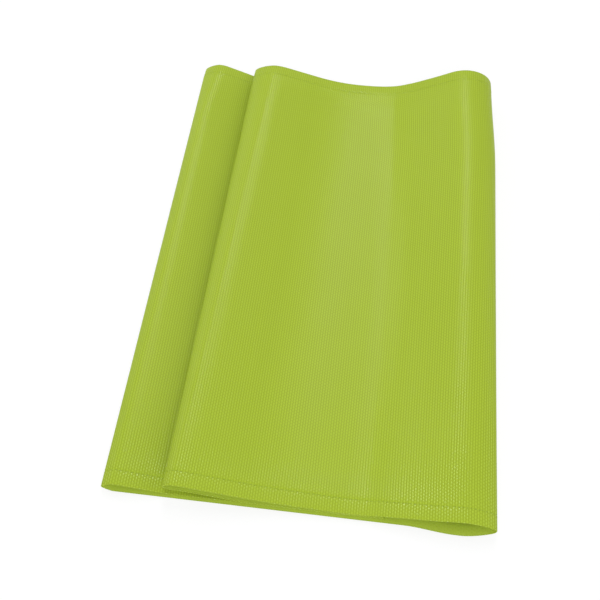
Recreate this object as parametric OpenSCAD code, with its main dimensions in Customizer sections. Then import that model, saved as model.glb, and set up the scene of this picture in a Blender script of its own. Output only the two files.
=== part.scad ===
// Knitted filter sleeve: a tube of stretch knit, hemmed at both mouths, laid flat with one
// pleat in its upper side. Millimetres, +Z up. The under ply lies on z = 0, X runs across
// the sleeve, Y along it: the near mouth is at -Y and the far mouth at +Y.

/* [Sleeve] */
// Width of the sleeve as it lies, from the left crease to the right roll
flat_w = 300; // [270:1:340]
// Length of the sleeve from mouth to mouth, on the under ply
sleeve_l = 454; // [380:1:520]
// Thickness of one ply of the knit
ply_t = 0.6; // [0.4:0.05:0.9]
// Clear space between two plies that lie on each other
ply_gap = 0.2; // [0.15:0.05:0.5]
// How far the under ply reaches past the upper ply at the near mouth
mouth_lead = 2; // [0:0.5:8]

/* [Pleat] */
// Left crease to the flap fold, at the near mouth
flap_in_near = 50; // [42:1:60]
// Left crease to the flap fold, at the far mouth
flap_in_far = 53; // [42:1:60]
// Right edge to the hidden tuck fold
tuck_in = 84; // [72:1:110]
// Radius of the hidden tuck fold, to the middle of its ply
tuck_r = 0.8; // [0.7:0.05:1.5]
// Height of the flap, at the near mouth
flap_h_near = 24.5; // [20:0.5:30]
// Height of the flap, at the far mouth
flap_h_far = 22.5; // [20:0.5:30]
// How far the rounded nose of the flap runs back to its crest, at the near mouth
nose_l_near = 14; // [10:0.5:20]
// How far the rounded nose of the flap runs back to its crest, at the far mouth
nose_l_far = 18; // [12:0.5:24]
// Rise of the flap's nose from its lower ply to its crest, at the near mouth
nose_h_near = 11; // [8:0.5:12]
// Rise of the flap's nose from its lower ply to its crest, at the far mouth
nose_h_far = 18; // [10:0.5:18]
// Length over which the flap's lower ply comes down behind the nose
nose_run = 60; // [40:1:80]

/* [Left crease] */
// Height of the roll at the left crease, at the near mouth
crease_h_near = 10.5; // [8:0.5:12]
// Height of the roll at the left crease, at the far mouth
crease_h_far = 17; // [12:0.5:20]
// Left crease to the crest of its roll, at the near mouth
crease_l_near = 11; // [8:0.5:14]
// Left crease to the crest of its roll, at the far mouth
crease_l_far = 16; // [12:0.5:20]
// Length over which the left panel comes down from that crest, at the near mouth
crease_run_near = 150; // [120:1:170]
// Length over which the left panel comes down from that crest, at the far mouth
crease_run_far = 34; // [26:1:60]
// Fullness of the crease: 2 is an ellipse, less is more pointed
crease_full = 1.6; // [1.3:0.05:2]

/* [Right roll] */
// Height of the right roll, at the near mouth
roll_h_near = 11.5; // [10:0.5:16]
// Height of the right roll, at the far mouth
roll_h_far = 38; // [30:0.5:44]
// Right edge to the crest of the roll, at the near mouth
roll_l_near = 33; // [26:0.5:38]
// Right edge to the crest of the roll, at the far mouth
roll_l_far = 30; // [26:0.5:38]
// How far the right edge is drawn in at the far mouth
roll_draw = 4; // [0:0.5:6]
// Length over which the right edge is drawn in
roll_draw_l = 110; // [60:1:160]

/* [Valley] */
// Right edge to the lowest line of the upper ply, at the near mouth
valley_near = 118; // [105:1:130]
// Right edge to the lowest line of the upper ply, at the far mouth
valley_far = 133; // [115:1:145]
// How far that line bows towards the right edge halfway along
valley_bow = 38; // [20:1:45]

/* [Hems] */
// Depth of the turned-in hem at each mouth
hem_d = 14; // [10:0.5:18]
// Length over which the stacked plies close up again behind a hem
hem_settle = 18; // [12:1:30]
// Hem's raw edge to its row of stitching
stitch_in = 2.5; // [1.5:0.25:4]
// Width of the groove that the hem stitching pulls into the knit
stitch_w = 1.2; // [0.8:0.1:1.6]
// Depth of that groove, which the needle thread fills
stitch_sink = 0.2; // [0.1:0.05:0.3]
// Thickness of the overlock threads on a raw edge
thread_t = 0.15; // [0.1:0.05:0.25]

/* [Side seam] */
// Right edge to the line where the knit is joined into a tube
seam_in = 52; // [46:1:60]
// Width of the seam allowance, pressed towards the left
seam_allow = 7; // [5:0.5:9]
// Width of the overlock threads along the allowance's cut edge
seam_bind = 4; // [3:0.5:4.5]
// Width of the row of joining stitches beside the seam line
seam_row = 1; // [0.6:0.1:1.4]

/* [Hidden] */

knit_colour = [0.64, 0.73, 0.25];
hem_colour = [0.60, 0.69, 0.23];
thread_colour = [0.70, 0.79, 0.32];

// Steps along each stretch of the section, in the order of section()
under_n = 4;
roll_n = 10;
front_n = 22;
nose_n = 8;
return_n = 11;
tuck_n = 5;
left_n = 13;
crease_n = 8;
// Steps along the sleeve between the two settled stretches behind the hems
length_n = 8;

// Room that the tuck fold takes beyond two plies that lie flat on each other
tuck_swell = 2 * tuck_r - ply_t - ply_gap;
// Length before and after the tuck fold over which the plies rise over it
tuck_rise = 16;
tuck_drop = 30;
ellipse = 2;

function mix(near, far, t) = near + (far - near) * t;
function ease(s) = (1 - cos(180 * max(0, min(1, s)))) / 2;
function fall(s) = 1 - ease(s);

// t runs from 0 at the near mouth to 1 at the far mouth
function hem_share(t) = fall((min(t, 1 - t) * sleeve_l - hem_d) / hem_settle);
// Spacing of two plies with their inner faces together, hems and overlock threads between
function inner_pitch(t) = ply_t + ply_gap + 2 * (ply_t + thread_t) * hem_share(t);
outer_pitch = ply_t + ply_gap;
// Heights of the middles of the four stacked plies
under_z = ply_t / 2;
function left_rest_z(t) = under_z + inner_pitch(t);
function front_rest_z(t) = left_rest_z(t) + outer_pitch + inner_pitch(t);

// Places across the sleeve
left_x = (ply_t - flat_w) / 2;
tuck_x = flat_w / 2 - tuck_in - tuck_r;
function right_x(t) = (flat_w - ply_t) / 2 - roll_draw * ease(1 - (1 - t) * sleeve_l / roll_draw_l);
function crease_l(t) = mix(crease_l_near, crease_l_far, t);
function nose_l(t) = mix(nose_l_near, nose_l_far, t);
function roll_l(t) = mix(roll_l_near, roll_l_far, t);
function crease_x(t) = left_x + crease_l(t);
function flap_x(t) = left_x + mix(flap_in_near, flap_in_far, t);
function nose_x(t) = flap_x(t) + nose_l(t);
function roll_x(t) = right_x(t) - roll_l(t);
function valley_x(t) = flat_w / 2 - mix(valley_near, valley_far, t) + valley_bow * sin(180 * t);

// Heights of the crests, to the middle of the ply
function crease_top(t) = mix(crease_h_near, crease_h_far, t) - ply_t / 2;
function flap_top(t) = mix(flap_h_near, flap_h_far, t) - ply_t / 2;
function roll_top(t) = mix(roll_h_near, roll_h_far, t) - ply_t / 2;

// Height of the left panel, which runs on under the flap to the tuck fold
function left_z(x, t) = left_rest_z(t)
    + (crease_top(t) - left_rest_z(t))
    * fall((x - crease_x(t)) / mix(crease_run_near, crease_run_far, t));

// Height of the flap's lower ply, which runs from the nose to the tuck fold
function nose_lift(t) = max(0, flap_top(t) - mix(nose_h_near, nose_h_far, t)
    - left_z(nose_x(t), t) - outer_pitch);
function return_z(x, t) = left_z(x, t) + outer_pitch
    + nose_lift(t) * fall((x - nose_x(t)) / nose_run)
    + tuck_swell * ease((x - tuck_x + tuck_rise) / tuck_rise);

// Height of the upper ply, from the crest of the flap to the crest of the right roll
function front_z(x, t) = front_rest_z(t)
    + (flap_top(t) - front_rest_z(t)) * fall((x - nose_x(t)) / (valley_x(t) - nose_x(t)))
    + (roll_top(t) - front_rest_z(t)) * ease((x - valley_x(t)) / (roll_x(t) - valley_x(t)))
    + tuck_swell * ease((x - tuck_x + tuck_rise) / tuck_rise)
    * fall((x - tuck_x - ply_t) / tuck_drop);

// Points of a section are [x, z, lead], lead being 1 on the under ply and 0 on the upper.
// Each stretch leaves out its first point, which the stretch before it ends on.
function under_run(x0, x1) = [for (i = [1:under_n]) [mix(x0, x1, i / under_n), under_z, 1]];
function fold(x, z0, z1, reach, full, lead0, lead1, n) = [
    for (i = [1:n]) let (a = 180 * i / n, out = pow(sin(a), 2 / full))
        [x + reach * out,
         (z0 + z1) / 2 - (z1 - z0) / 2 * sign(cos(a)) * pow(abs(cos(a)), 2 / full),
         mix(lead0, lead1, i / n)]];

function section(t) = let (
        xr = roll_x(t), xn = nose_x(t), xc = crease_x(t)) concat(
    under_run(0, xr),
    fold(xr, under_z, front_z(xr, t), roll_l(t), ellipse, 1, 0, roll_n),
    [for (i = [1:front_n]) let (x = mix(xr, xn, i / front_n)) [x, front_z(x, t), 0]],
    fold(xn, front_z(xn, t), return_z(xn, t), -nose_l(t), ellipse, 0, 0, nose_n),
    [for (i = [1:return_n]) let (x = mix(xn, tuck_x, i / return_n)) [x, return_z(x, t), 0]],
    fold(tuck_x, return_z(tuck_x, t), left_z(tuck_x, t), tuck_r, ellipse, 0, 0, tuck_n),
    [for (i = [1:left_n]) let (x = mix(tuck_x, xc, i / left_n)) [x, left_z(x, t), 0]],
    fold(xc, left_z(xc, t), under_z, -crease_l(t), crease_full, 0, 1, crease_n),
    under_run(xc, 0));

// One rail: the section at a distance along the sleeve, set off outwards from the ply's middle
function rail(along, out) = let (
        t = along / sleeve_l, pts = section(t), n = len(pts)) [
    for (j = [0:n - 1]) let (
            p = pts[j], step = pts[(j + 1) % n] - pts[(j + n - 1) % n],
            run = norm([step[0], step[1]]))
        [p[0] + out * step[1] / run,
         along - sleeve_l / 2 + mouth_lead * (1 - p[2]) * (1 - t),
         p[1] - out * step[0] / run]];

// A closed band round the sleeve, its cross-section given by its rails in turn. Each patch is
// split along the same diagonal on the way out and on the way back, so that a thin ply that
// twists keeps its thickness.
module wrap(rails) {
    n = len(rails[0]);
    m = len(rails);
    function at(i, j) = (i % m) * n + j % n;
    function goes_out(i) = rails[(i + 1) % m][0][1] >= rails[i][0][1];
    polyhedron(
        points = [for (r = rails) each r],
        faces = [for (i = [0:m - 1], j = [0:n - 1])
            let (a = at(i, j), b = at(i + 1, j), c = at(i + 1, j + 1), d = at(i, j + 1))
            each goes_out(i) ? [[a, c, b], [a, d, c]] : [[a, d, b], [b, d, c]]]);
}

// Distances along the sleeve where a hem's bands begin, bend and end, from its own mouth
stitch_at = hem_d - stitch_in;
groove = [stitch_at - stitch_w / 2, stitch_at, stitch_at + stitch_w / 2];
bind_marks = [groove[0], groove[1], groove[2], hem_d];
hem_marks = concat([0], bind_marks);
settled = hem_d + hem_settle;

// The same distances, counted from the near mouth, for the near hem and for the far hem
function from_near(marks) = marks;
function from_far(marks) = [for (i = [len(marks) - 1:-1:0]) sleeve_l - marks[i]];

panel_marks = concat(
    from_near(hem_marks), [hem_d + hem_settle / 2],
    [for (i = [0:length_n]) mix(settled, sleeve_l - settled, i / length_n)],
    [sleeve_l - hem_d - hem_settle / 2], from_far(hem_marks));

function outer_face(along) = ply_t / 2
    - (along == groove[1] || along == sleeve_l - groove[1] ? stitch_sink : 0);
inner_face = -ply_t / 2;

// A band between two depths below the ply's middle, through all of its marks
module lining(marks, top, bottom) {
    m = len(marks);
    wrap(concat(
        [for (s = marks) rail(s, top)],
        [for (i = [m - 1:-1:0]) rail(marks[i], bottom)]));
}

module knit_panel() {
    m = len(panel_marks);
    color(knit_colour) wrap(concat(
        [for (s = panel_marks) rail(s, outer_face(s))],
        [for (i = [m - 1:-1:0]) rail(panel_marks[i], inner_face)]));
}

module hem(marks) {
    color(hem_colour) lining(marks, inner_face, inner_face - ply_t);
}

module hem_overlock(marks) {
    color(thread_colour) lining(marks, inner_face - ply_t, inner_face - ply_t - thread_t);
}

// Needle thread of a hem, lying flush in the groove it pulls
module hem_stitching(marks) {
    color(thread_colour) wrap([
        rail(marks[0], ply_t / 2), rail(marks[2], ply_t / 2), rail(marks[1], outer_face(marks[1]))]);
}

module near_hem() { hem(from_near(hem_marks)); }
module far_hem() { hem(from_far(hem_marks)); }
module near_hem_stitching() { hem_stitching(from_near(groove)); }
module far_hem_stitching() { hem_stitching(from_far(groove)); }
module near_hem_overlock() { hem_overlock(from_near(bind_marks)); }
module far_hem_overlock() { hem_overlock(from_far(bind_marks)); }

// The seam lies inside on the under ply, between the two hems
seam_x = flat_w / 2 - seam_in;
seam_l = sleeve_l - 2 * hem_d;

module seam_strip(x, width, z, thick) {
    translate([x, -seam_l / 2, z]) cube([width, seam_l, thick]);
}

module seam_allowance() {
    color(hem_colour) seam_strip(seam_x - seam_allow, seam_allow, ply_t, 2 * ply_t);
}

module seam_stitching() {
    color(thread_colour) seam_strip(seam_x - seam_row, seam_row, 3 * ply_t, thread_t);
}

module seam_overlock() {
    color(thread_colour) seam_strip(seam_x - seam_allow, seam_bind, 3 * ply_t, thread_t);
}

knit_panel();
near_hem();
far_hem();
near_hem_stitching();
far_hem_stitching();
near_hem_overlock();
far_hem_overlock();
seam_allowance();
seam_stitching();
seam_overlock();
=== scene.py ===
"""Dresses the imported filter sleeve: one lime green ribbed knit cloth, hemmed at both mouths and
laid flat with one pleat, with its hem stitching, overlock threads and side seam.

Lengths are in metres. X runs across the sleeve, Y along it, Z up. A place on the cloth is given
by how far along the sleeve it lies, counted from the near mouth, and by its wale, counted round
the sleeve from the side seam."""

import math
from collections import namedtuple

import bpy
import numpy as np
from mathutils import Matrix, Vector


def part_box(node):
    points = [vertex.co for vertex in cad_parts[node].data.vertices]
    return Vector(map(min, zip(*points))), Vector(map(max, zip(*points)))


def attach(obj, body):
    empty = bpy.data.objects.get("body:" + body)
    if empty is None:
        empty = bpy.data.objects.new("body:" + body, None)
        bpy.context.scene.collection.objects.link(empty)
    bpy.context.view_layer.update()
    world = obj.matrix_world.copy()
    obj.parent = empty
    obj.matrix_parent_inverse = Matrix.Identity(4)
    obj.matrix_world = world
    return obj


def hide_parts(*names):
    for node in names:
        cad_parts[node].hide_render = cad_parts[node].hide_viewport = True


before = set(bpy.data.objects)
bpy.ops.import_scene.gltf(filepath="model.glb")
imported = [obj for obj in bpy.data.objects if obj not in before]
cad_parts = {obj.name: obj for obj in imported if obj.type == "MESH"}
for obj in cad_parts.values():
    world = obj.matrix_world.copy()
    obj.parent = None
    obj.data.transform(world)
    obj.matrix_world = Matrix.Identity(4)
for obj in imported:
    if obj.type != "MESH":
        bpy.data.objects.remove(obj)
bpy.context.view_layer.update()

MM = 0.001

# ---------------------------------------------------------------- sizes of the sleeve

# A pair of sizes is the one at the near mouth and the one at the far mouth. IN is a distance from
# the sleeve's right side, or the flap's from its left side, H a height and L a length across.

panel_low, panel_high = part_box("knit_panel")
FLAT_W = panel_high.x - panel_low.x
SLEEVE_L = panel_high.y - panel_low.y
PLY_T = 0.6 * MM
PLY_GAP = 0.2 * MM

# At the near mouth the under ply reaches past the upper one, and swells out near its right end
MOUTH_LEAD = 2.0 * MM
MOUTH_SWELL = 2.8 * MM
MOUTH_SWELL_X = 120 * MM
MOUTH_SWELL_W = 40 * MM
MOUTH_SWELL_FADE = 3
# Past its stitches the far hem droops and reaches on, in full where the ply lies this high
HEM_DROOP = 2.0 * MM
HEM_REACH = 2.2 * MM
HEM_LOOSE_Z = 10 * MM

# The pleat: the flap, its crease or nose, and the tuck fold under it
FLAP_IN = (50 * MM, 53 * MM)
TUCK_IN = 84 * MM
TUCK_R = 0.8 * MM
TUCK_RISE = 16 * MM
TUCK_DROP = 30 * MM
FLAP_H = (24.5 * MM, 22.5 * MM)
NOSE_L = (7 * MM, 21 * MM)
NOSE_H = (11 * MM, 18 * MM)
NOSE_RUN = 60 * MM
NOSE_FULL = 1.5

# The left crease, and the panel that falls from it to run on under the flap
CREASE_H = (10.5 * MM, 17 * MM)
CREASE_L = (8 * MM, 9 * MM)
CREASE_RUN = (46 * MM, 46 * MM)
CREASE_ROUND = (0.2, 0.12)
CREASE_WIDEN = 6 * MM
CREASE_WIDEN_L = 60 * MM
CREASE_FULL = 1.4
LEFT_DRAW = (1.5 * MM, 0.3 * MM)

# The right roll
ROLL_H = (17 * MM, 38 * MM)
ROLL_L = (22 * MM, 25 * MM)
ROLL_DRAW = 4 * MM
ROLL_DRAW_L = 110 * MM
ROLL_SINK = 1.4
RIGHT_DRAW = 1.6 * MM

# The upper ply's lowest line, the flap's fall to it and the roll's rise from it
VALLEY_IN = (115 * MM, 137 * MM)
VALLEY_BOW = 18.5 * MM
FLAP_FALL_L = (92 * MM, 89 * MM)
FLAP_FALL_SHARE = (0.42, 0.92)
LEVEL_BOW = 1.1
FLAP_ROUND = (0.14, 0.5)
ROLL_FOOT = (0.25, 0.57)
ROLL_HEAD = 0.16
ROLL_BOW = 2.8

# Hems and side seam
HEM_D = 14 * MM
HEM_SETTLE = 18 * MM
STITCH_AT = 11.5 * MM
GROOVE_W = 1.6 * MM
GROOVE_D = 0.18 * MM
THREAD_T = 0.15 * MM
SEAM_IN = 52 * MM
SEAM_ALLOW = 7 * MM
SEAM_SINK = 0.2 * MM

# The rib: wales from the side seam to the flap's nose, and from there back round to the seam
WALES_FRONT = 154
WALES_BACK = 312
WALES = WALES_FRONT + WALES_BACK
WALE = 2.05 * MM
COURSE = 2.6 * MM
RIB_RELIEF = 0.04 * MM

# ---------------------------------------------------------------- the folded section


def mix(ends, t):
    """A size that runs evenly from its value at the near mouth to the one at the far mouth."""
    return ends[0] + (ends[1] - ends[0]) * t


def ease(s):
    """A smooth rise from 0 at 0 to 1 at 1."""
    return (1 - np.cos(np.pi * np.clip(s, 0, 1))) / 2


def fall(s):
    """A smooth fall from 1 at 0 to 0 at 1."""
    return 1 - ease(s)


def ramp(s, rounding, bow=2):
    """A straight rise from 0 to 1, rounded over these shares of it at its foot and its head. A
    larger bow makes the foot start more gently."""
    foot, head = rounding
    s = np.clip(s, 0, 1)
    steepness = 1 / (1 - foot * (1 - 1 / bow) - head / 2)
    low = (np.minimum(s, foot) / foot) ** bow * foot / bow
    middle = np.clip(s, foot, 1 - head) - foot
    high = (head ** 2 - np.minimum(1 - s, head) ** 2) / (2 * head)
    return steepness * (low + middle + high)


# Heights and places are those of the ply's middle
OUTER_PITCH = PLY_T + PLY_GAP
TUCK_SWELL = 2 * TUCK_R - OUTER_PITCH
UNDER_Z = PLY_T / 2
LEFT_X = (PLY_T - FLAT_W) / 2
TUCK_X = FLAT_W / 2 - TUCK_IN - TUCK_R
SEAM_X = FLAT_W / 2 - SEAM_IN
ELLIPSE = 2.0
STEPS_PER_STRETCH = 240
# Wales to each side of a place between which the cloth's direction is taken
DIRECTION_REACH = 0.25


class Lay:
    """Places and heights of one cross-section, t running from 0 at the near mouth to 1."""

    def __init__(self, t):
        self.t = t
        from_mouth = min(t, 1 - t) * SLEEVE_L
        hem_share = fall((from_mouth - HEM_D) / HEM_SETTLE)
        inner_pitch = OUTER_PITCH + 2 * (PLY_T + THREAD_T) * hem_share
        self.left_rest = UNDER_Z + inner_pitch
        self.front_rest = self.left_rest + OUTER_PITCH + inner_pitch
        drawn_in = ROLL_DRAW * ease(1 - (1 - t) * SLEEVE_L / ROLL_DRAW_L)
        self.right_x = (FLAT_W - PLY_T) / 2 - drawn_in - RIGHT_DRAW * (1 - t)
        far_share = fall((1 - t) * SLEEVE_L / CREASE_WIDEN_L)
        self.left_x = LEFT_X + mix(LEFT_DRAW, t)
        self.crease_x = self.left_x + mix(CREASE_L, t) + CREASE_WIDEN * far_share
        self.nose_x = LEFT_X + mix(FLAP_IN, t) + mix(NOSE_L, t)
        self.roll_x = self.right_x - mix(ROLL_L, t)
        self.valley_x = FLAT_W / 2 - mix(VALLEY_IN, t) + VALLEY_BOW * math.sin(math.pi * t)
        self.crease_top = mix(CREASE_H, t) - PLY_T / 2
        self.flap_top = mix(FLAP_H, t) - PLY_T / 2
        self.roll_top = mix(ROLL_H, t ** ROLL_SINK) - PLY_T / 2
        self.nose_lift = max(0, self.flap_top - mix(NOSE_H, t) - self.left_z(self.nose_x) - OUTER_PITCH)

    def under_z(self, x):
        """The ply that lies on the floor."""
        return np.full_like(x, UNDER_Z)

    def left_z(self, x):
        """The left panel, which runs on under the flap to the tuck fold."""
        down = 1 - ramp((x - self.crease_x) / mix(CREASE_RUN, self.t), CREASE_ROUND)
        return self.left_rest + (self.crease_top - self.left_rest) * down

    def tuck_z(self, x):
        """How much the plies over the tuck fold are lifted by it."""
        return TUCK_SWELL * ease((x - TUCK_X + TUCK_RISE) / TUCK_RISE)

    def return_z(self, x):
        """The flap's lower ply, from the nose to the tuck fold."""
        lift = self.nose_lift * fall((x - self.nose_x) / NOSE_RUN)
        return self.left_z(x) + OUTER_PITCH + lift + self.tuck_z(x)

    def front_z(self, x):
        """The upper ply, from the crest of the flap to the crest of the right roll: the flap falls
        to a nearly level stretch, and the roll rises beyond it from a soft crease."""
        past_nose, past_valley = x - self.nose_x, x - self.valley_x
        whole = self.valley_x - self.nose_x
        short = 1 - ramp(past_nose / mix(FLAP_FALL_L, self.t), FLAP_ROUND)
        long = (1 - np.clip(past_nose / whole, 0, 1)) ** LEVEL_BOW
        share = mix(FLAP_FALL_SHARE, self.t)
        flap = share * short + (1 - share) * long
        rounding = (mix(ROLL_FOOT, self.t), ROLL_HEAD)
        roll = ramp(past_valley / (self.roll_x - self.valley_x), rounding, ROLL_BOW)
        over_tuck = self.tuck_z(x) * fall((x - TUCK_X - PLY_T) / TUCK_DROP)
        return (self.front_rest + (self.flap_top - self.front_rest) * flap
                + (self.roll_top - self.front_rest) * roll + over_tuck)

    def run(self, height, x0, x1, lead):
        """A stretch across the sleeve, its height given by a function of x."""
        x = np.linspace(x0, x1, STEPS_PER_STRETCH)
        return np.stack([x, height(x), np.full_like(x, lead)], axis=1)

    def fold(self, x, z0, z1, reach, full, lead0, lead1):
        """Half a turn at x from one height to the other, which reaches out to one side. It is half
        an ellipse where full is 2, and more pointed where full is less."""
        turn = np.linspace(0, np.pi, STEPS_PER_STRETCH)
        out = np.sin(turn).clip(0) ** (2 / full)
        swing = np.sign(np.cos(turn)) * np.abs(np.cos(turn)) ** (2 / full)
        lead = lead0 + (lead1 - lead0) * turn / np.pi
        return np.stack([x + reach * out, (z0 + z1) / 2 - (z1 - z0) / 2 * swing, lead], axis=1)

    def stretches(self):
        """The section round the sleeve from the seam: points of x, z and lead, stretch by stretch,
        the lead being 1 on the under ply and 0 on the upper one."""
        roll_x, nose_x, crease_x = self.roll_x, self.nose_x, self.crease_x
        nose_l = mix(NOSE_L, self.t)
        return [
            self.run(self.under_z, SEAM_X, roll_x, 1),
            self.fold(roll_x, UNDER_Z, self.front_z(roll_x), self.right_x - roll_x, ELLIPSE, 1, 0),
            self.run(self.front_z, roll_x, nose_x, 0),
            self.fold(nose_x, self.front_z(nose_x), self.return_z(nose_x), -nose_l, NOSE_FULL, 0, 0),
            self.run(self.return_z, nose_x, TUCK_X, 0),
            self.fold(TUCK_X, self.return_z(TUCK_X), self.left_z(TUCK_X), TUCK_R, ELLIPSE, 0, 0),
            self.run(self.left_z, TUCK_X, crease_x, 0),
            self.fold(crease_x, self.left_z(crease_x), UNDER_Z, self.left_x - crease_x, CREASE_FULL, 0, 1),
            self.run(self.under_z, crease_x, SEAM_X, 1),
        ]


def section(t):
    """Points of the section with the wale at each, 0 and WALES at the seam and WALES_FRONT at the
    tip of the flap's nose. The rib runs straight along the sleeve between those two lines."""
    stretches = Lay(t).stretches()
    points = np.concatenate([s[1:] if i else s for i, s in enumerate(stretches)])
    steps = np.hypot(np.diff(points[:, 0]), np.diff(points[:, 1]))
    length = np.concatenate([[0], np.cumsum(steps)])
    before_nose = sum(len(s) - 1 for s in stretches[:3])
    tip = before_nose + np.argmin(stretches[3][:, 0])
    front = WALES_FRONT * length / length[tip]
    back = WALES_FRONT + WALES_BACK * (length - length[tip]) / (length[-1] - length[tip])
    return points, np.where(np.arange(len(points)) <= tip, front, back)


def on_cloth(along, wale, out):
    """Points at a distance along the sleeve, at these wales, set off outwards from the middle of
    the ply, with the outward direction and the direction round the sleeve at each."""
    t = min(max(along / SLEEVE_L, 0), 1)
    points, at = section(t)
    x, z, lead = (np.interp(wale, at, points[:, i]) for i in range(3))
    ahead = [np.interp((wale + DIRECTION_REACH) % WALES, at, points[:, i]) for i in (0, 1)]
    behind = [np.interp((wale - DIRECTION_REACH) % WALES, at, points[:, i]) for i in (0, 1)]
    dx, dz = ahead[0] - behind[0], ahead[1] - behind[1]
    run = np.hypot(dx, dz)
    dx, dz = dx / run, dz / run
    past_stitches = max(0, along - SLEEVE_L + STITCH_AT) / STITCH_AT
    loose = min(past_stitches, 1) * np.clip(z / HEM_LOOSE_Z, 0, 1)
    z = z - HEM_DROOP * loose
    low = 1 - np.clip(z / ROLL_H[0], 0, 1)
    near = (1 - t) ** MOUTH_SWELL_FADE
    swell = MOUTH_SWELL * bump_at(x - MOUTH_SWELL_X, MOUTH_SWELL_W) * low * near
    y = along - SLEEVE_L / 2 + MOUTH_LEAD * (1 - lead) * (1 - t) - swell + HEM_REACH * loose
    zero = np.zeros_like(x)
    place = np.stack([x + out * dz, y + zero, z - out * dx], axis=1)
    return place, np.stack([dz, zero, -dx], axis=1), np.stack([dx, zero, dz], axis=1)


# ---------------------------------------------------------------- objects and node trees


class Tree:
    """Adds nodes to one node tree and joins them. A plain number, colour or vector given for a
    socket becomes its value."""

    def __init__(self, tree):
        self.tree = tree
        tree.nodes.clear()

    def node(self, kind, inputs=(), **settings):
        """A node with these settings, and with its inputs, by name or number, joined or set."""
        made = self.tree.nodes.new(kind)
        for name, value in settings.items():
            setattr(made, name, value)
        for key, value in dict(inputs).items():
            self.join(value, made.inputs[key])
        return made

    def join(self, value, socket):
        """Joins a node's output to a socket, or sets the socket to a value."""
        if isinstance(value, bpy.types.NodeSocket):
            self.tree.links.new(value, socket)
        elif value is not None:
            socket.default_value = value

    def calc(self, operation, a, b=None, c=None):
        """A Math node's result."""
        values = {i: v for i, v in enumerate((a, b, c)) if v is not None}
        return self.node("ShaderNodeMath", values, operation=operation).outputs[0]

    def wave(self, value):
        """Runs from 1 at whole numbers down to 0 halfway between them."""
        turned = self.calc("COSINE", self.calc("MULTIPLY", value, math.tau))
        return self.calc("MULTIPLY_ADD", turned, 0.5, 0.5)

    def less(self, value):
        """What is left of 1 without the value."""
        return self.calc("SUBTRACT", 1.0, value)

    def mixed(self, share, a, b):
        """Colour a at share 0 and colour b at 1, by a Mix node's colour sockets."""
        return self.node("ShaderNodeMix", {0: share, 6: a, 7: b}, data_type="RGBA").outputs[2]

    def noise(self, at, scale, detail):
        """Noise that runs to about half below and half above 0."""
        made = self.node("ShaderNodeTexNoise", {"Vector": at, "Scale": scale, "Detail": detail})
        return self.calc("SUBTRACT", made.outputs["Fac"], 0.5)

    def vector(self, operation, a, b=None, scale=None):
        """A Vector Math node's result."""
        values = {key: v for key, v in ((0, a), (1, b), ("Scale", scale)) if v is not None}
        return self.node("ShaderNodeVectorMath", values, operation=operation).outputs[0]


def link(name, data):
    """An object with this mesh, lamp or camera, in the scene."""
    made = bpy.data.objects.new(name, data)
    bpy.context.scene.collection.objects.link(made)
    return made


def dress(piece, slot, *nodes):
    """Lets a piece ride on the sleeve's one body, in the place of these plain solids."""
    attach(piece, "root")
    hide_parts(*nodes)


def new_material(name):
    """A material with an empty node tree."""
    material = bpy.data.materials.new(name)
    material.use_nodes = True
    return material, Tree(material.node_tree)


# ---------------------------------------------------------------- camera, lamps and floor

# Azimuths are counted from the far mouth towards the right, and heights up from the floor
CAMERA_AT = Vector((0.0199, -0.4088, 0.5933))
CAMERA_AZIMUTH = math.radians(-5.96)
CAMERA_PITCH = math.radians(57.96)
CAMERA_ROLL = math.radians(0.84)
CAMERA_LENS = 48.0

WORLD_LIGHT = 0.45
LAMP_AWAY = 1.6
FILL_SIZE = (0.9, 0.5)
FILL_AZIMUTH = math.radians(176)
FILL_HEIGHT = math.radians(34)
FILL_POWER = 11.5
STRIP_SIZE = (0.36, 1.25)
STRIP_AZIMUTH = math.radians(-2.5)
STRIP_HEIGHT = math.radians(57)
STRIP_POWER = 11.0
SIDE_SIZE = (1.6, 1.0)
SIDE_HEIGHT = math.radians(28)
LEFT_AZIMUTH = math.radians(-64)
LEFT_POWER = 7.5
RIGHT_AZIMUTH = math.radians(78)
RIGHT_POWER = 4.5

FLOOR_SIZE = 6.0
FLOOR_GAP = 0.2 * MM
FLOOR_COLOUR = (0.95, 0.95, 0.95, 1)
FLOOR_GLOW_SHARE = 0.82
WHITE = (1, 1, 1, 1)


def place_camera():
    """Looks down at the near mouth from a little to its right."""
    sin_a, cos_a = math.sin(CAMERA_AZIMUTH), math.cos(CAMERA_AZIMUTH)
    sin_p, cos_p = math.sin(CAMERA_PITCH), math.cos(CAMERA_PITCH)
    forward = Vector((sin_a * cos_p, cos_a * cos_p, -sin_p))
    level = Vector((cos_a, -sin_a, 0))
    up = level.cross(forward)
    right = level * math.cos(CAMERA_ROLL) + up * math.sin(CAMERA_ROLL)
    top = up * math.cos(CAMERA_ROLL) - level * math.sin(CAMERA_ROLL)
    data = bpy.data.cameras.new("Camera")
    data.lens = CAMERA_LENS
    camera = link("Camera", data)
    turn = Matrix((right, top, -forward)).transposed().to_4x4()
    camera.matrix_world = Matrix.Translation(CAMERA_AT) @ turn
    bpy.context.scene.camera = camera


def hang_softbox(name, size, azimuth, height, power):
    """A lamp that looks at the middle of the sleeve, its azimuth counted from the far mouth
    towards the right."""
    data = bpy.data.lights.new(name, "AREA")
    data.shape = "RECTANGLE"
    data.size, data.size_y = size
    data.energy = power
    level = LAMP_AWAY * math.cos(height)
    rise = LAMP_AWAY * math.sin(height)
    lamp = link(name, data)
    lamp.location = (level * math.sin(azimuth), level * math.cos(azimuth), rise)
    lamp.rotation_euler = (math.pi / 2 - height, 0, math.pi - azimuth)


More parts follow.
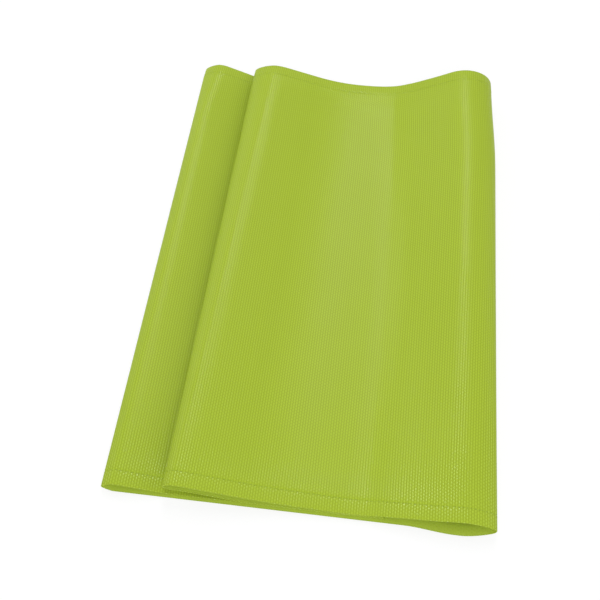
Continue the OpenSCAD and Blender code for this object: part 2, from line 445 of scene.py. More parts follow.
def seen_directly(tree):
    """1 for rays that show the background itself: the camera's, and those of gloss and glass."""
    path = tree.node("ShaderNodeLightPath").outputs
    glossy = tree.calc("MAXIMUM", path["Is Camera Ray"], path["Is Glossy Ray"])
    return tree.calc("MAXIMUM", glossy, path["Is Transmission Ray"])


def light_world():
    """A plain soft light from all sides, which looks white to the camera."""
    world = bpy.data.worlds.new("Studio")
    bpy.context.scene.world = world
    world.use_nodes = True
    tree = Tree(world.node_tree)
    to_camera = tree.node("ShaderNodeLightPath").outputs["Is Camera Ray"]
    soft = tree.node("ShaderNodeBackground", {"Color": WHITE, "Strength": WORLD_LIGHT}).outputs[0]
    white = tree.node("ShaderNodeBackground", {"Color": WHITE}).outputs[0]
    pick = tree.node("ShaderNodeMixShader", {0: to_camera, 1: soft, 2: white}).outputs[0]
    tree.node("ShaderNodeOutputWorld", {"Surface": pick})


def lay_floor():
    """A white floor that keeps the sleeve's shadow."""
    half = FLOOR_SIZE / 2
    corners = [(-half, -half), (half, -half), (half, half), (-half, half)]
    mesh = bpy.data.meshes.new("Floor")
    mesh.from_pydata([(x, y, -FLOOR_GAP) for x, y in corners], [], [(0, 1, 2, 3)])
    material, tree = new_material("white floor")
    matt = tree.node("ShaderNodeBsdfDiffuse", {"Color": FLOOR_COLOUR}).outputs[0]
    glow = tree.node("ShaderNodeEmission").outputs[0]
    share = tree.calc("MULTIPLY", seen_directly(tree), FLOOR_GLOW_SHARE)
    mixed = tree.node("ShaderNodeMixShader", {0: share, 1: matt, 2: glow}).outputs[0]
    tree.node("ShaderNodeOutputMaterial", {"Surface": mixed})
    mesh.materials.append(material)
    link("Floor", mesh)


# ---------------------------------------------------------------- knit and thread

YARN_COLOUR = (0.384, 0.514, 0.030, 1)
# Painted shade: the darker colour in the grooves between ribs and between loops stands for the shade there;
# its blue is nearly gone, which makes the crowns look glossier, a painted sheen
GROOVE_PAINTED_SHADE = (0.262, 0.352, 0.002, 1)
# Painted light: the inside faces get an even, paler colour that stands in for light coming through the thin
# knit
INSIDE_PAINTED_LIGHT = (0.435, 0.565, 0.042, 1)
KNIT_ROUGHNESS = 0.23
GROOVE_ROUGHNESS = 0.8
KNIT_GLOSS = 0.5
RIB_BUMP = 0.02 * MM
LOOP_BUMP = 0.025 * MM
FIBRE_BUMP = 0.03 * MM
FIBRE_SCALE = 2600.0
FIBRE_DETAIL = 2.0
FIBRE_STRETCH = (1.0, 0.25, 1.0)
FIBRE_SHADE = 0.5
# Shares of a rib's height: what it loses between its loops, and where its crown begins and ends
# to shine
LOOP_DIP = 0.8
SHINE_FROM = 0.35
SHINE_TO = 0.7
# Share of the painted shade that falls between the loops rather than along the grooves
LOOP_SHADE = 0.85
RIB_STREAK = 0.012
CLOUD_SHADE = 0.03
CLOUD_SCALE = 22.0
CLOUD_DETAIL = 3.0

THREAD_COLOUR = (0.375, 0.502, 0.028, 1)
# Painted shade: the darker colour between the twisted plies
THREAD_SHADE = (0.310, 0.418, 0.018, 1)
THREAD_ROUGHNESS = 0.45
THREAD_PLIES = 2.0
THREAD_BUMP = 0.03 * MM
TWIST_PITCH = 0.9 * MM

SOCKETS = {"value": "NodeSocketFloat", "colour": "NodeSocketColor", "vector": "NodeSocketVector"}


def new_group(name, inputs, outputs):
    """A shader node group with these named inputs and outputs."""
    group = bpy.data.node_groups.new(name, "ShaderNodeTree")
    for label, (kind, value) in inputs.items():
        socket = group.interface.new_socket(name=label, in_out="INPUT", socket_type=SOCKETS[kind])
        if value is not None:
            socket.default_value = value
    for label, kind in outputs.items():
        group.interface.new_socket(name=label, in_out="OUTPUT", socket_type=SOCKETS[kind])
    tree = Tree(group)
    given = tree.node("NodeGroupInput").outputs
    result = tree.node("NodeGroupOutput").inputs
    return group, tree, given, result


def rib_knit_group():
    """Ribs that run along the cloth, each a column of loops. The loops of every second rib lie
    half a course further on, so that they stand like bricks."""
    group, tree, given, result = new_group(
        "Rib Knit",
        {
            "Cloth": ("vector", None),
            "Inside": ("value", 0.0),
            "Wale Width": ("value", WALE),
            "Course Height": ("value", COURSE),
            "Rib Relief": ("value", RIB_BUMP),
            "Loop Relief": ("value", LOOP_BUMP),
            "Loop Dip": ("value", LOOP_DIP),
            "Fibre Relief": ("value", FIBRE_BUMP),
            "Fibre Scale": ("value", FIBRE_SCALE),
            "Fibre Shade": ("value", FIBRE_SHADE),
            "Yarn Colour": ("colour", YARN_COLOUR),
            "Groove Painted Shade": ("colour", GROOVE_PAINTED_SHADE),
            "Inside Painted Light": ("colour", INSIDE_PAINTED_LIGHT),
            "Loop Shade": ("value", LOOP_SHADE),
            "Streak": ("value", RIB_STREAK),
            "Cloud": ("value", CLOUD_SHADE),
            "Cloud Scale": ("value", CLOUD_SCALE),
            "Roughness": ("value", KNIT_ROUGHNESS),
            "Groove Roughness": ("value", GROOVE_ROUGHNESS),
            "Shine From": ("value", SHINE_FROM),
            "Shine To": ("value", SHINE_TO),
        },
        {"Colour": "colour", "Height": "value", "Roughness": "value"},
    )
    place = tree.node("ShaderNodeSeparateXYZ", {0: given["Cloth"]}).outputs
    wales = tree.calc("DIVIDE", place["X"], given["Wale Width"])
    courses = tree.calc("DIVIDE", place["Y"], given["Course Height"])
    groove = tree.wave(wales)
    rib = tree.less(groove)
    own = tree.calc("FLOOR", wales)
    step = tree.calc("MULTIPLY", tree.calc("MODULO", own, 2.0), 0.5)
    crown = tree.wave(tree.calc("ADD", courses, step))
    swell = tree.calc("MULTIPLY_ADD", crown, given["Loop Dip"], tree.less(given["Loop Dip"]))
    loop = tree.calc("MULTIPLY", swell, rib)

    fibre_place = tree.vector("MULTIPLY", given["Cloth"], FIBRE_STRETCH)
    fibre = tree.noise(fibre_place, given["Fibre Scale"], FIBRE_DETAIL)
    random = tree.node("ShaderNodeTexWhiteNoise", {"W": own}, noise_dimensions="1D").outputs["Value"]
    streak = tree.calc("MULTIPLY", tree.calc("SUBTRACT", random, 0.5), given["Streak"])
    patches = tree.noise(given["Cloth"], given["Cloud Scale"], CLOUD_DETAIL)
    cloud = tree.calc("MULTIPLY", patches, given["Cloud"])

    rise = tree.calc("MULTIPLY", rib, given["Rib Relief"])
    rise = tree.calc("MULTIPLY_ADD", loop, given["Loop Relief"], rise)
    rise = tree.calc("MULTIPLY_ADD", fibre, given["Fibre Relief"], rise)
    tree.join(rise, result["Height"])

    # Painted shade: how far each place takes the darker groove colour, in the grooves and between the
    # loops, with fibre noise on top
    shade = tree.calc("MULTIPLY", tree.less(loop), given["Loop Shade"])
    painted_shade = tree.calc("MULTIPLY_ADD", groove, tree.less(given["Loop Shade"]), shade)
    painted_shade = tree.calc("MULTIPLY_ADD", fibre, given["Fibre Shade"], painted_shade)
    painted_shade = tree.node("ShaderNodeClamp", {"Value": painted_shade}).outputs[0]
    # The outer face: yarn colour on the crowns, painted shade in the grooves
    outer = tree.mixed(painted_shade, given["Yarn Colour"], given["Groove Painted Shade"])
    # Painted light: the inside faces take the paler inside colour in place of the ribbed one
    yarn = tree.mixed(given["Inside"], outer, given["Inside Painted Light"])
    level = tree.calc("ADD", tree.calc("ADD", streak, cloud), 1.0)
    tree.join(tree.vector("SCALE", yarn, scale=level), result["Colour"])
    rough = tree.node("ShaderNodeMapRange", {
        "Value": loop, "From Min": given["Shine From"], "From Max": given["Shine To"],
        "To Min": given["Groove Roughness"], "To Max": given["Roughness"]})
    tree.join(rough.outputs[0], result["Roughness"])
    return group


def knit_material(group):
    """Lime green ribbed knit, its pattern laid on the cloth's own map."""
    material, tree = new_material("ribbed knit")
    knit = tree.node("ShaderNodeGroup", node_tree=group)
    tree.join(tree.node("ShaderNodeUVMap", uv_map="Cloth").outputs[0], knit.inputs["Cloth"])
    inside = tree.node("ShaderNodeAttribute", attribute_name="inside").outputs["Fac"]
    tree.join(inside, knit.inputs["Inside"])
    bump = tree.node("ShaderNodeBump", {"Height": knit.outputs["Height"], "Distance": 1.0})
    shader = tree.node("ShaderNodeBsdfPrincipled", {
        "Base Color": knit.outputs["Colour"],
        "Roughness": knit.outputs["Roughness"],
        "Normal": bump.outputs[0],
        "Specular IOR Level": KNIT_GLOSS,
    })
    tree.node("ShaderNodeOutputMaterial", {"Surface": shader.outputs[0]})
    return material


def twisted_thread_group():
    """Plies that wind round a thread, from the length along it and the turn round it."""
    group, tree, given, result = new_group(
        "Twisted Thread",
        {
            "Length": ("value", None),
            "Turn": ("value", None),
            "Plies": ("value", THREAD_PLIES),
            "Twist Pitch": ("value", TWIST_PITCH),
            "Ply Relief": ("value", THREAD_BUMP),
            "Thread Colour": ("colour", THREAD_COLOUR),
            "Shade Colour": ("colour", THREAD_SHADE),
        },
        {"Colour": "colour", "Height": "value"},
    )
    winding = tree.calc("DIVIDE", given["Length"], given["Twist Pitch"])
    ply = tree.wave(tree.calc("MULTIPLY_ADD", given["Turn"], given["Plies"], winding))
    tree.join(tree.calc("MULTIPLY", ply, given["Ply Relief"]), result["Height"])
    # Painted shade between the plies, the thread colour on their crowns
    tree.join(tree.mixed(ply, given["Shade Colour"], given["Thread Colour"]), result["Colour"])
    return group


def thread_material(group):
    """Matching lime green sewing thread."""
    material, tree = new_material("sewing thread")
    twist = tree.node("ShaderNodeGroup", node_tree=group)
    for name, socket in (("thread_length", "Length"), ("thread_turn", "Turn")):
        stored = tree.node("ShaderNodeAttribute", attribute_name=name).outputs["Fac"]
        tree.join(stored, twist.inputs[socket])
    bump = tree.node("ShaderNodeBump", {"Height": twist.outputs["Height"], "Distance": 1.0})
    shader = tree.node("ShaderNodeBsdfPrincipled", {
        "Base Color": twist.outputs["Colour"],
        "Roughness": THREAD_ROUGHNESS,
        "Normal": bump.outputs[0],
    })
    tree.node("ShaderNodeOutputMaterial", {"Surface": shader.outputs[0]})
    return material


# ---------------------------------------------------------------- the cloth

# Columns of faces in each wale: where the rib is seen, where it lies below, and one where it is
# tucked under the flap. SEEN_WALES are the roll, the front and the nose, and then the left panel
# and the left crease.
COLUMNS_SEEN = 4
COLUMNS_UNDER = 2
SEEN_WALES = ((7, 168), (298, 356))
TUCKED_WALES = (168, 298)
SEAM_WALES = 3
SEAM_SINK_WALES = 1.5

# Distances from a mouth at which the cloth has its rows: on the outer face, on the hem's inner
# face up to its raw edge, and on the lining, which is the inner face beyond the hem
OUTER_ROWS = [d * MM for d in (4, 8, 10.7, 11.2, 11.5, 11.8, 12.3, 14, 17, 21, 27)]
OUTER_MIDDLE_FROM = 34 * MM
OUTER_MIDDLE_ROWS = 28
HEM_ROWS = [6 * MM, HEM_D - 0.3 * MM]
LINING_ROWS = [d * MM for d in (18, 24, 32)]
LINING_MIDDLE_FROM = 42 * MM
LINING_MIDDLE_ROWS = 20
HEM_FOLD_R = PLY_T
FOLD_STEPS = 6

# A row of the cloth: how far along it lies, how far off the ply's middle, or None on the ribbed
# outer face, and its place on the map at the end of the band before and the start of the next
Row = namedtuple("Row", "along out before after")


def bump_at(distance, half_width):
    """1 at the middle of a groove, 0 at its rims."""
    return fall(np.abs(distance) / half_width)


def wale_columns():
    """The columns of the outer face, in wales. Each whole wale is one of them."""
    columns = []
    for wale in range(WALES):
        from_seam = min(wale, WALES - 1 - wale)
        if from_seam < SEAM_WALES or any(low <= wale < high for low, high in SEEN_WALES):
            count = COLUMNS_SEEN
        elif TUCKED_WALES[0] <= wale < TUCKED_WALES[1]:
            count = 1
        else:
            count = COLUMNS_UNDER
        columns += [wale + i / count for i in range(count)]
    return np.array(columns)


def rib_sink(wale):
    """How far the cloth is sunk between its ribs, from 1 on whole wales to 0 on the crowns."""
    return (1 + np.cos(2 * np.pi * wale)) / 2


def outer_face(along, wale):
    """How far the outer face stands off the ply's middle: the ribs, the groove that the hem
    stitching pulls in, and the line of the side seam."""
    from_mouth = min(along, SLEEVE_L - along)
    groove = GROOVE_D * bump_at(from_mouth - STITCH_AT, GROOVE_W / 2)
    seam = SEAM_SINK * bump_at(np.minimum(wale, WALES - wale), SEAM_SINK_WALES)
    return PLY_T / 2 - RIB_RELIEF * rib_sink(wale) - groove - seam


def folded_edge(out, wale):
    """The edge at a mouth, on which the ribs fade towards the inside."""
    return out - RIB_RELIEF * rib_sink(wale) * max(0, (out + PLY_T / 2) / PLY_T)


def both_ways(rows, middle_from, middle_rows):
    """Rows from the near mouth to the far one: as given at both mouths, and even between them."""
    middle = np.linspace(middle_from, SLEEVE_L - middle_from, middle_rows)
    return [*rows, *middle, *(SLEEVE_L - d for d in reversed(rows))]


def cloth_rows():
    """The rows round the cloth's two faces. The fine ones are the outer face, with the folds at
    the mouths, and the coarse ones are the hems' inner faces with the lining between them."""
    turns = [math.pi * i / FOLD_STEPS for i in range(1, FOLD_STEPS + 1)]
    fold = [(HEM_FOLD_R * (1 - math.sin(a)), HEM_FOLD_R * math.cos(a) - PLY_T / 2, HEM_FOLD_R * (1 - a))
            for a in turns]
    outer = both_ways(OUTER_ROWS, OUTER_MIDDLE_FROM, OUTER_MIDDLE_ROWS)
    fine = [Row(along, out, on, on) for along, out, on in reversed(fold)]
    fine += [Row(along, None, along, along) for along in (HEM_FOLD_R, *outer, SLEEVE_L - HEM_FOLD_R)]
    fine += [Row(SLEEVE_L - along, out, SLEEVE_L - on, SLEEVE_L - on) for along, out, on in fold]

    hem_out, lining_out = -PLY_T / 2 - PLY_T, -PLY_T / 2
    lining = both_ways(LINING_ROWS, LINING_MIDDLE_FROM, LINING_MIDDLE_ROWS)
    coarse = [Row(SLEEVE_L - d, hem_out, SLEEVE_L + d, SLEEVE_L + d) for d in HEM_ROWS]
    coarse.append(Row(SLEEVE_L - HEM_D, lining_out, SLEEVE_L + HEM_D, SLEEVE_L - HEM_D))
    coarse += [Row(along, lining_out, along, along) for along in reversed(lining)]
    coarse.append(Row(HEM_D, lining_out, HEM_D, -HEM_D))
    coarse += [Row(d, hem_out, -d, -d) for d in reversed(HEM_ROWS)]
    return fine, coarse


def profile_shares(fine, coarse):
    """How far round the profile each row lies, as a share of the whole way round."""
    rows = [*fine, *coarse, fine[0]]
    off = [PLY_T / 2 if row.out is None else row.out for row in rows]
    spans = np.hypot(np.diff([row.along for row in rows]), np.diff(off))
    return np.concatenate([[0], np.cumsum(spans)]) / sum(spans)


class Skin:
    """The cloth's faces with their two maps, built from corners, each of which is a vertex, its
    wale, its place along on the map and its share of the way round the profile."""

    def __init__(self):
        self.faces, self.cloth_map, self.bake_map = [], [], []

    def add(self, *corners):
        self.faces.append([vertex for vertex, _, _, _ in corners])
        self.cloth_map.extend((wale * WALE, on) for _, wale, on, _ in corners)
        self.bake_map.extend((wale / WALES, share) for _, wale, _, share in corners)

    def add_bands(self, rows, first, columns, shares):
        """The faces between rows that begin at the first vertex, with one in every column."""
        n = len(columns)
        for i, (near, far) in enumerate(zip(rows, rows[1:])):
            row, at, to = first + i * n, shares[i], shares[i + 1]
            for j in range(n):
                k = (j + 1) % n
                a, b = columns[j], columns[k] or WALES
                self.add((row + j, a, near.after, at), (row + n + j, a, far.before, to),
                         (row + n + k, b, far.before, to), (row + k, b, near.after, at))

    def join_rows(self, columns, fine, coarse, from_far):
        """One face in every wale between a fine row and a coarse one, each of them given by its
        first vertex, its place on the map and its share."""
        n = len(columns)
        whole = [*np.nonzero(columns == np.floor(columns))[0], n]
        turned = -1 if from_far else 1
        for j in range(WALES):
            k = (j + 1) % WALES
            coarse_side = [(coarse[0] + k, j + 1, *coarse[1:]), (coarse[0] + j, j, *coarse[1:])]
            fine_side = [(fine[0] + c % n, columns[c % n] or (WALES if c else 0), *fine[1:])
                         for c in range(whole[j], whole[j + 1] + 1)]
            self.add(*coarse_side[::turned], *fine_side[::turned])


def link_cloth(name, points, faces, maps, smooth, material):
    """A piece of cloth with these maps on it."""
    mesh = bpy.data.meshes.new(name)
    mesh.from_pydata(points, [], faces)
    for label, values in maps.items():
        layer = mesh.uv_layers.new(name=label)
        layer.uv.foreach_set("vector", np.array(values, dtype=np.float32).ravel())
    mesh.polygons.foreach_set("use_smooth", smooth)
    mesh.materials.append(material)
    mesh.update()
    return link(name, mesh)


def make_cloth(material):
    """One closed cloth: both faces, the edges rolled in at the mouths and the hems' raw edges."""
    columns, wales = wale_columns(), np.arange(WALES, dtype=float)
    fine, coarse = cloth_rows()
    points = []
    for row in fine:
        off = outer_face(row.along, columns) if row.out is None else folded_edge(row.out, columns)
        points.append(on_cloth(row.along, columns, off)[0])
    for row in coarse:
        points.append(on_cloth(row.along, wales, np.full(WALES, row.out))[0])

    last_fine, first_coarse = (len(fine) - 1) * len(columns), len(fine) * len(columns)
    last_coarse = first_coarse + (len(coarse) - 1) * WALES
    shares = profile_shares(fine, coarse)
    skin = Skin()
    skin.add_bands(fine, 0, columns, shares)
    outside = len(skin.faces)
    skin.add_bands(coarse, first_coarse, wales, shares[len(fine):])
    skin.join_rows(columns, (last_fine, fine[-1].after, shares[len(fine) - 1]),
                   (first_coarse, coarse[0].before, shares[len(fine)]), from_far=True)
    skin.join_rows(columns, (0, fine[0].before, shares[-1]),
                   (last_coarse, coarse[-1].after, shares[-2]), from_far=False)
    count = len(skin.faces)
    maps = {"Cloth": skin.cloth_map, "OFBake": skin.bake_map}
    points = np.concatenate(points).tolist()
    cloth = link_cloth("knit_cloth", points, skin.faces, maps, [True] * count, material)
    # Marks the inside faces, on which the knit material paints light that comes through the thin knit
    inside = cloth.data.attributes.new("inside", "FLOAT", "FACE")
    inside.data.foreach_set("value", [0.0] * outside + [1.0] * (count - outside))
    return cloth


# ---------------------------------------------------------------- stitches and overlock threads

STITCH_PITCH = 3.0 * MM
STITCH_L = 2.5 * MM
STITCH_CROWN = 0.14 * MM
STITCH_DIP = 0.30 * MM
STITCH_UNEVEN = 0.06
STITCH_SEED = 7
STITCH_STEPS = 6
NEEDLE_THREAD_R = 0.16 * MM
LOOPER_THREAD_R = 0.10 * MM
OVERLOCK_W = 3.0 * MM
OVERLOCK_PITCH = 2.4 * MM
OVERLOCK_STEPS = 6
OVERLOCK_LIFT = 0.12 * MM
OVERLOCK_LEAN = 0.5 * MM
THREAD_SIDES = 6
LOOPER_SIDES = 4


def new_geometry_tree(name, inputs):
    """A Geometry Nodes tree with these named inputs, besides the guide that it works on."""
    group = bpy.data.node_groups.new(name, "GeometryNodeTree")
    group.interface.new_socket(name="Guide", in_out="INPUT", socket_type="NodeSocketGeometry")
    for label, (kind, value) in inputs.items():
        socket = group.interface.new_socket(name=label, in_out="INPUT", socket_type=kind)
        if value is not None:
            socket.default_value = value
    group.interface.new_socket(name="Threads", in_out="OUTPUT", socket_type="NodeSocketGeometry")
    tree = Tree(group)
    return group, tree, tree.node("NodeGroupInput").outputs, tree.node("NodeGroupOutput").inputs


def named_vector(tree, name):
    """A direction that the guide has at each of its points."""
    return tree.node("GeometryNodeInputNamedAttribute", {"Name": name}, data_type="FLOAT_VECTOR").outputs[0]


def kept(tree, line, name, value):
    """A curve that keeps this value at each point under this name."""
    return tree.node("GeometryNodeStoreNamedAttribute", {"Geometry": line, "Name": name, "Value": value},
                     data_type="FLOAT", domain="POINT").outputs[0]


def thread_round(tree, line, radius, sides):
    """A thread round a line, with the length along it and the turn round it kept for its twist."""
    spline = tree.node("GeometryNodeSplineParameter").outputs
    ring = tree.node("GeometryNodeCurvePrimitiveCircle", {"Resolution": sides, "Radius": radius}).outputs[0]
    measured = kept(tree, line, "thread_length", spline["Length"])
    turned = kept(tree, ring, "thread_turn", spline["Factor"])
    return tree.node("GeometryNodeCurveToMesh",
                     {"Curve": measured, "Profile Curve": turned, "Fill Caps": True}).outputs[0]


def needle_stitch_tree():
    """One needle stitch at each point of the guide, which dips into the cloth at both ends."""
    group, tree, given, result = new_geometry_tree("Needle Stitches", {
        "Stitch Length": ("NodeSocketFloat", STITCH_L),
        "Crown": ("NodeSocketFloat", STITCH_CROWN),
        "Dip": ("NodeSocketFloat", STITCH_DIP),
        "Thread Radius": ("NodeSocketFloat", NEEDLE_THREAD_R),
        "Unevenness": ("NodeSocketFloat", STITCH_UNEVEN),
        "Seed": ("NodeSocketInt", STITCH_SEED),
        "Thread": ("NodeSocketMaterial", None),
    })
    half = tree.calc("MULTIPLY", given["Stitch Length"], 0.5)
    back = tree.calc("MULTIPLY", half, -1.0)
    down = tree.calc("MULTIPLY", given["Dip"], -1.0)
    # A curve of this kind rises halfway to its middle point
    top = tree.calc("MULTIPLY_ADD", given["Crown"], 2.0, given["Dip"])
    start = tree.node("ShaderNodeCombineXYZ", {"X": back, "Z": down}).outputs[0]
    middle = tree.node("ShaderNodeCombineXYZ", {"Z": top}).outputs[0]
    end = tree.node("ShaderNodeCombineXYZ", {"X": half, "Z": down}).outputs[0]
    line = tree.node("GeometryNodeCurveQuadraticBezier",
                     {"Resolution": STITCH_STEPS, "Start": start, "Middle": middle, "End": end}).outputs[0]
    stitch = thread_round(tree, line, given["Thread Radius"], THREAD_SIDES)
    turn = tree.node("FunctionNodeAxesToRotation",
                     {0: named_vector(tree, "out"), 1: named_vector(tree, "round")},
                     primary_axis="Z", secondary_axis="X").outputs[0]
    least = tree.less(given["Unevenness"])
    most = tree.calc("ADD", 1.0, given["Unevenness"])
    size = tree.node("FunctionNodeRandomValue", {"Seed": given["Seed"]}, data_type="FLOAT")
    for value, key in ((least, "Min"), (most, "Max")):
        tree.join(value, next(s for s in size.inputs if s.name == key and s.type == "VALUE"))
    grown = next(s for s in size.outputs if s.type == "VALUE")
    placed = tree.node("GeometryNodeInstanceOnPoints", {
        "Points": given["Guide"], "Instance": stitch, "Rotation": turn, "Scale": grown}).outputs[0]
    finish_threads(tree, placed, given["Thread"], result)
    return group


def overlock_tree():
    """A looper thread that swings from a cut edge over the cloth and back, once in every stitch."""
    group, tree, given, result = new_geometry_tree("Overlock Loops", {
        "Width": ("NodeSocketFloat", OVERLOCK_W),
        "Lift": ("NodeSocketFloat", OVERLOCK_LIFT),
        "Lean": ("NodeSocketFloat", OVERLOCK_LEAN),
        "Steps": ("NodeSocketInt", OVERLOCK_STEPS),
        "Thread Radius": ("NodeSocketFloat", LOOPER_THREAD_R),
        "Thread": ("NodeSocketMaterial", None),
    })
    index = tree.node("GeometryNodeInputIndex").outputs[0]
    phase = tree.calc("DIVIDE", index, given["Steps"])
    swing = tree.less(tree.wave(phase))
    lean = tree.calc("SINE", tree.calc("MULTIPLY", phase, math.tau))
    hump = tree.less(tree.wave(tree.calc("MULTIPLY", phase, 2.0)))
    offset = None
    for way, share, size in (("across", swing, "Width"), ("out", hump, "Lift"), ("round", lean, "Lean")):
        length = tree.calc("MULTIPLY", share, given[size])
        moved = tree.vector("SCALE", named_vector(tree, way), scale=length)
        offset = tree.vector("ADD", offset, moved) if offset else moved
    swung = tree.node("GeometryNodeSetPosition", {"Geometry": given["Guide"], "Offset": offset}).outputs[0]
    line = tree.node("GeometryNodeMeshToCurve", {0: swung}).outputs[0]
    thread = thread_round(tree, line, given["Thread Radius"], LOOPER_SIDES)
    finish_threads(tree, thread, given["Thread"], result)
    return group


def finish_threads(tree, threads, material, result):
    """Makes the threads real and smooth, in their own material."""
    real = tree.node("GeometryNodeRealizeInstances", {0: threads}).outputs[0]
    smooth = tree.node("GeometryNodeSetShadeSmooth", {"Geometry": real}).outputs[0]
    coloured = tree.node("GeometryNodeSetMaterial", {"Geometry": smooth, "Material": material}).outputs[0]
    tree.join(coloured, result[0])


def guide_mesh(places, directions, ring=None):
    """Points with named directions, joined in a line if ring is given: True where it closes."""
    count = len(places)
    edges = [] if ring is None else [(i, i + 1) for i in range(count - 1)]
    if ring:
        edges.append((count - 1, 0))
    mesh = bpy.data.meshes.new("guide")
    mesh.from_pydata(places.tolist(), edges, [])
    for label, values in directions.items():
        attribute = mesh.attributes.new(label, "FLOAT_VECTOR", "POINT")
        attribute.data.foreach_set("vector", values.astype(np.float32).ravel())
    return mesh


def run_tree(name, guide, tree, **sizes):
    """Runs a tree on a guide and keeps what it makes as a plain mesh."""
    maker = link(name, guide)
    modifier = maker.modifiers.new("threads", "NODES")
    modifier.node_group = tree
    named = {item.name: item.identifier for item in tree.interface.items_tree if item.in_out == "INPUT"}
    for label, value in sizes.items():
        modifier[named[label.replace("_", " ")]] = value
    graph = bpy.context.evaluated_depsgraph_get()
    made = bpy.data.meshes.new_from_object(maker.evaluated_get(graph))
    bpy.data.objects.remove(maker)
    made.name = name
    return link(name, made)


def round_sleeve(along, out, pitch, across=0.0):
    """Evenly spaced places round the sleeve with their directions: out, round the sleeve, and
    across, towards the far mouth for 1 and the near mouth for -1."""
    count = round(WALES * WALE / pitch)
    wales = np.arange(count) * WALES / count
    places, outward, around = on_cloth(along, wales, np.full(count, out))
    sideways = np.zeros_like(places)
    sideways[:, 1] = across
    return places, {"out": outward, "round": around, "across": sideways}


def sew_hem(end, from_mouth, toward_mouth, needle, overlock, thread):
    """The needle stitches that show round a hem, and the overlock threads on its raw edge."""
    sunk = PLY_T / 2 - GROOVE_D + NEEDLE_THREAD_R / 2
    guide = guide_mesh(*round_sleeve(from_mouth(STITCH_AT), sunk, STITCH_PITCH))
    stitches = run_tree(f"{end}_hem_stitches", guide, needle, Thread=thread)

    inside = -PLY_T / 2 - PLY_T - LOOPER_THREAD_R
    loop_count = round(WALES * WALE / OVERLOCK_PITCH)
    step = WALES * WALE / (loop_count * OVERLOCK_STEPS)
    places, ways = round_sleeve(from_mouth(HEM_D + LOOPER_THREAD_R), inside, step, toward_mouth)
    ways["out"] = -ways["out"]
    guide = guide_mesh(places, ways, ring=True)
    reach = HEM_D - STITCH_AT + GROOVE_W / 2
    loops = run_tree(f"{end}_hem_overlock_threads", guide, overlock, Width=reach, Thread=thread)
    dress(stitches, "thread", f"{end}_hem_stitching")
    dress(loops, "thread", f"{end}_hem_overlock")
    return [stitches, loops]


# ---------------------------------------------------------------- side seam

SEAM_L = SLEEVE_L - 2 * HEM_D
SEAM_BIND = 4 * MM
SEAM_STITCH_IN = 0.5 * MM
SEAM_ROWS = 110
SEAM_EDGE_STEPS = 4
# How far the lower ply's cut edge bulges, as a share of the upper one's
SEAM_LOWER_BULGE = 0.8
# The cut edge's waves, as the share of each and how far it turns in the length
SEAM_WAVE = 0.35 * MM
SEAM_WAVE_L = 46 * MM
SEAM_WAVES = ((1.0, math.tau), (0.4, 5.1))


def allowance_outline():
    """The section of two flat plies with rounded cut edges and a fine line between them, from the
    top of the seam line round the cut edges to its foot."""
    ply_r = PLY_T / 2
    outline = [(0.0, 2 * PLY_T)]
    for foot, bulge in ((PLY_T, 1.0), (0.0, SEAM_LOWER_BULGE)):
        for a in np.linspace(math.pi / 2, -math.pi / 2, SEAM_EDGE_STEPS + 1)[0 if foot else 1:]:
            x = -SEAM_ALLOW + ply_r * (1 - bulge * math.cos(a))
            outline.append((x, foot + ply_r * (1 + math.sin(a))))
    return np.array([*outline, (0.0, 0.0)])


def make_seam_allowance(material):
    """The panel's two joined edges, pressed flat towards the left, a little wavy along the cut."""
    outline = allowance_outline()
    n = len(outline)
    steps = np.hypot(*np.diff(outline, axis=0).T)
    across = -np.concatenate([[0], np.cumsum(steps)])
    along = np.linspace(-SEAM_L / 2, SEAM_L / 2, SEAM_ROWS)
    waves = sum(share * np.sin(along / SEAM_WAVE_L * turn) for share, turn in SEAM_WAVES)
    drift = SEAM_WAVE * (1 + waves / sum(share for share, _ in SEAM_WAVES))
    points = [(SEAM_X + x - d * x / SEAM_ALLOW, y, PLY_T + z)
              for y, d in zip(along, drift) for x, z in outline]

    faces, cloth_map = [], []
    for i in range(SEAM_ROWS - 1):
        for j in range(n - 1):
            faces.append((i * n + j, i * n + j + 1, (i + 1) * n + j + 1, (i + 1) * n + j))
            cloth_map += [(across[j], along[i]), (across[j + 1], along[i]),
                          (across[j + 1], along[i + 1]), (across[j], along[i + 1])]
    first, last = list(range(n)), list(range((SEAM_ROWS - 1) * n, SEAM_ROWS * n))
    for end, y in ((first[::-1], along[0]), (last, along[-1])):
        faces.append(end)
        cloth_map += [(across[vertex % n], y) for vertex in end]
    for i in range(SEAM_ROWS - 1):
        faces.append((i * n + n - 1, i * n, (i + 1) * n, (i + 1) * n + n - 1))
        cloth_map += [(0.0, 0.0)] * 4
    smooth = [len(face) == 4 for face in faces]
    return link_cloth("seam_allowance_plies", points, faces, {"Cloth": cloth_map}, smooth, material)


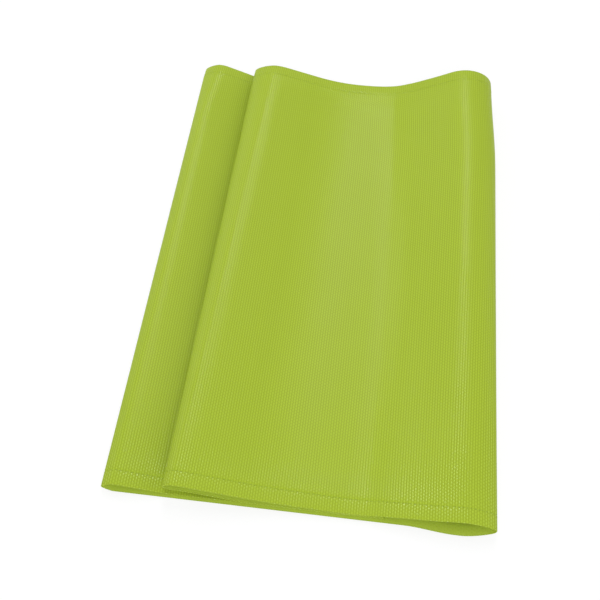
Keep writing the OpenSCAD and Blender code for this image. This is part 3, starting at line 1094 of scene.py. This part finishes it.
def seam_guide(x, y, z, ring=None):
    """A row of points that runs along the sleeve on the allowance, with its directions."""
    count = len(y)
    ways = {"out": (0, 0, 1), "round": (0, 1, 0), "across": (1, 0, 0)}
    directions = {name: np.tile(np.array(way, dtype=float), (count, 1)) for name, way in ways.items()}
    return guide_mesh(np.stack([np.full(count, x), y, np.full(count, z)], axis=1), directions, ring)


def sew_seam(needle, overlock, thread):
    """The joining stitches beside the seam line, and the overlock threads on the cut edges. The
    allowance's two plies lie on the under one."""
    top = 3 * PLY_T
    count = round(SEAM_L / STITCH_PITCH)
    y = (np.arange(count) + 0.5) * SEAM_L / count - SEAM_L / 2
    guide = seam_guide(SEAM_X - SEAM_STITCH_IN, y, top)
    stitches = run_tree("seam_join_stitches", guide, needle, Thread=thread)

    count = round(SEAM_L / OVERLOCK_PITCH) * OVERLOCK_STEPS
    y = np.linspace(-SEAM_L / 2, SEAM_L / 2, count)
    guide = seam_guide(SEAM_X - SEAM_ALLOW, y, top + LOOPER_THREAD_R, ring=False)
    loops = run_tree("seam_overlock_threads", guide, overlock, Width=SEAM_BIND, Thread=thread)
    dress(stitches, "thread", "seam_stitching")
    dress(loops, "thread", "seam_overlock")
    return [stitches, loops]


# ---------------------------------------------------------------- build

place_camera()
hang_softbox("Fill", FILL_SIZE, FILL_AZIMUTH, FILL_HEIGHT, FILL_POWER)
hang_softbox("Strip", STRIP_SIZE, STRIP_AZIMUTH, STRIP_HEIGHT, STRIP_POWER)
hang_softbox("Left", SIDE_SIZE, LEFT_AZIMUTH, SIDE_HEIGHT, LEFT_POWER)
hang_softbox("Right", SIDE_SIZE, RIGHT_AZIMUTH, SIDE_HEIGHT, RIGHT_POWER)
light_world()
lay_floor()

knit = knit_material(rib_knit_group())
thread = thread_material(twisted_thread_group())
needle, overlock = needle_stitch_tree(), overlock_tree()

cloth = make_cloth(knit)
threads = sew_hem("near", lambda d: d, -1.0, needle, overlock, thread)
threads += sew_hem("far", lambda d: SLEEVE_L - d, 1.0, needle, overlock, thread)
allowance = make_seam_allowance(knit)
threads += sew_seam(needle, overlock, thread)
dress(cloth, "knit", "knit_panel", "near_hem", "far_hem")
dress(allowance, "knit", "seam_allowance")

bpy.context.scene.view_settings.view_transform = "Standard"
